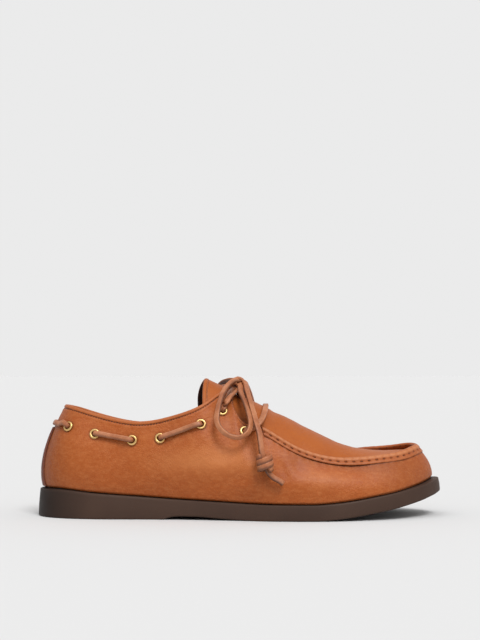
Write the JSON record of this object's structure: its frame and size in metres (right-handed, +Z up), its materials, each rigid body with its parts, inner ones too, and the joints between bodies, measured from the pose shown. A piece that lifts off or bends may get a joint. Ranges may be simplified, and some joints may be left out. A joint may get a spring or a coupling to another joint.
{
  "type": "derby shoe",
  "caption": "Tan leather derby shoe with a raised moccasin toe seam, a thong woven round the collar and tied in a bow with barrel knots, and a low brown rubber sole.",
  "frame": {"origin": "on the floor under the middle of the heel", "axes": "+X from heel to toe, +Y to the inner side of the foot, +Z up"},
  "size_m": [0.298, 0.1225, 0.101],
  "materials": {
    "rubber_brown": "matt moulded rubber",
    "leather_tan": "tumbled grain, soft sheen",
    "leather_edge": "grained, slightly darker",
    "leather_thong": "rawhide thong, waxed",
    "lining_tan": "matt lining leather",
    "brass": "polished, lightly worn"
  },
  "bodies": {
    "root": {"sole": "rubber_brown", "insole": "lining_tan", "upper": "leather_tan", "apron_tongue": "leather_tan", "moc_seam": "leather_edge", "collar_binding": "leather_edge", "backstay": "leather_edge", "eyelet_lateral_1": "brass", "eyelet_lateral_2": "brass", "eyelet_lateral_3": "brass", "eyelet_lateral_4": "brass", "eyelet_lateral_5": "brass", "eyelet_lateral_6": "brass", "eyelet_lateral_7": "brass", "eyelet_medial_1": "brass", "eyelet_medial_2": "brass", "eyelet_medial_3": "brass", "eyelet_medial_4": "brass", "eyelet_medial_5": "brass", "eyelet_medial_6": "brass", "eyelet_medial_7": "brass", "side_lace": "leather_thong", "front_bar": "leather_thong", "bow_knot": "leather_thong", "loop_near": "leather_thong", "loop_far": "leather_thong", "end_near": "leather_thong", "end_far": "leather_thong", "tail_near": "leather_thong", "tail_far": "leather_thong", "barrel_near": "leather_thong", "barrel_far": "leather_thong"}
  },
  "joints": []
}
